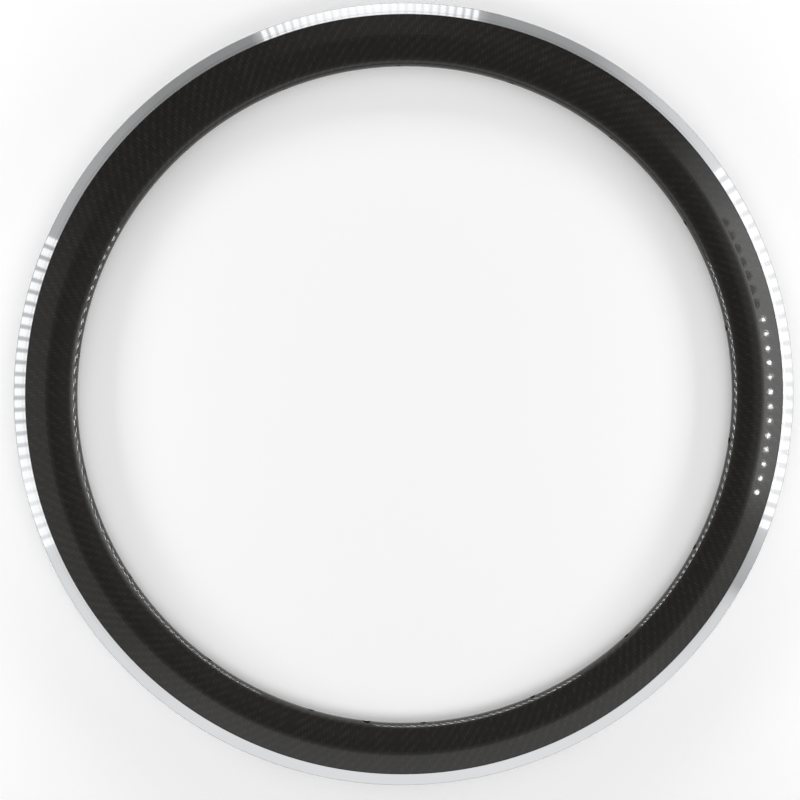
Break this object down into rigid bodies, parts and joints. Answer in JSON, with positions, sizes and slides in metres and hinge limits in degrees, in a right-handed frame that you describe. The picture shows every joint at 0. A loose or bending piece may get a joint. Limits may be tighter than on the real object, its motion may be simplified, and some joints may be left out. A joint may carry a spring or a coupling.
{
  "type": "bicycle rim",
  "caption": "Deep-section bicycle clincher rim: turned aluminium hoop with hooked tyre channel and brake tracks, bonded to a hollow carbon body with radial spoke holes.",
  "frame": {"origin": "the wheel's centre, on the axle line at the rim's mid-plane", "axes": "+Z along the axle towards the face in the picture, the valve hole at -Y, +X to the right of it"},
  "size_m": [0.633, 0.6329, 0.023],
  "materials": {
    "turned_alloy": "turned, satin",
    "lacquered_carbon": "woven carbon under clear gloss lacquer"
  },
  "bodies": {
    "root": {"alloy_hoop": "turned_alloy", "carbon_body": "lacquered_carbon"}
  },
  "joints": []
}
